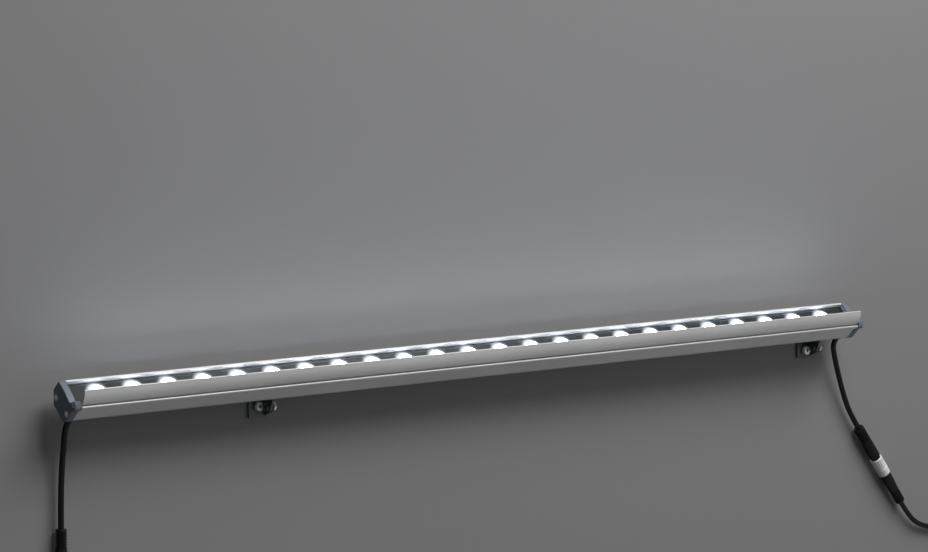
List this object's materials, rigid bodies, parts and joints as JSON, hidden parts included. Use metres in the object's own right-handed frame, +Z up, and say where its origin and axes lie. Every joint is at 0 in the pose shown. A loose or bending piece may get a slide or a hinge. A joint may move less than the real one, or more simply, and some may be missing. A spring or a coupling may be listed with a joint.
{
  "type": "outdoor wall washer light",
  "caption": "Outdoor wall washer light: a long silver bar tilted on two wall feet, with a curled glare visor, round lenses set in dark resin and two leads with waterproof plugs.",
  "frame": {"origin": "on the wall plane, midway between the two wall screws", "axes": "+X along the bar, +Y into the wall, +Z up"},
  "size_m": [1.2266, 0.0775, 0.3348],
  "materials": {
    "body": "satin silver anodised",
    "dark_bracket": "dark grey coated steel",
    "stainless": "plain stainless",
    "rubber": "matt",
    "board": "white solder mask on an aluminium core",
    "black_plastic": "matt",
    "white_plastic": "satin",
    "lens": "clear polished",
    "compound": "glossy cast resin",
    "cable": "semi-matt black jacket",
    "contact": "plated",
    "core": "coloured insulation"
  },
  "bodies": {
    "wall_feet": {"foot_left": "dark_bracket", "foot_right": "dark_bracket", "wall_screws": "stainless", "wall_washers": "stainless", "tilt_bolts": "dark_bracket", "tilt_nuts": "stainless", "tilt_washers": "black_plastic"},
    "swivel": {"lug_left": "dark_bracket", "lug_right": "dark_bracket", "slot_screws": "stainless", "slot_nuts": "stainless"},
    "head": {"housing": "body", "end_cap_left": "body", "end_cap_right": "body", "end_gasket_left": "rubber", "end_gasket_right": "rubber", "cap_screws": "stainless", "led_board_left": "board", "led_board_right": "board", "board_link": "white_plastic", "board_screws": "stainless", "led_chips": "white_plastic", "driver_chips": "black_plastic", "terminals": "white_plastic", "lens_cups": "white_plastic", "lenses": "lens", "potting": "compound", "gland_left": "black_plastic", "gland_right": "black_plastic", "gland_nuts": "black_plastic", "wires_left": "core", "wires_right": "core", "lead_left": "cable", "lead_right": "cable", "plug_left": "cable", "insert_left": "black_plastic", "seal_left": "rubber", "plug_right": "cable", "pins_right": "contact", "supply_plug": "cable", "insert_right": "black_plastic", "seal_right": "rubber", "supply_lead": "cable", "supply_coil": "cable", "coil_tie": "black_plastic", "supply_cores": "core"},
    "visor": {"visor": "body", "visor_screws": "stainless", "visor_washers": "black_plastic"},
    "nut_left": {"coupling_nut_left": "white_plastic"},
    "nut_right": {"coupling_nut_right": "white_plastic"}
  },
  "joints": [
    {"name": "bar_tilt", "type": "hinge", "parent": "wall_feet", "child": "swivel", "pos_m": [0, -0.0105, 0.0015], "axis": [1, 0, 0], "range_deg": [-20, 60]},
    {"name": "bar_slide", "type": "slide", "parent": "swivel", "child": "head", "axis": [1, 0, 0], "range_m": [-0.006, 0.2]},
    {"name": "visor_hinge", "type": "hinge", "parent": "head", "child": "visor", "pos_m": [-0.1, -0.04519, 0.02805], "axis": [1, 0, 0], "range_deg": [-45, 30]},
    {"name": "ring_nut_left", "type": "hinge", "parent": "head", "child": "nut_left", "pos_m": [-0.588, -0.0066, -0.1427], "axis": [0, 0, -1], "continuous": true},
    {"name": "ring_nut_right", "type": "hinge", "parent": "head", "child": "nut_right", "pos_m": [0.46925, -0.007, -0.1342], "axis": [0.6061, 0, -0.7954], "continuous": true}
  ]
}
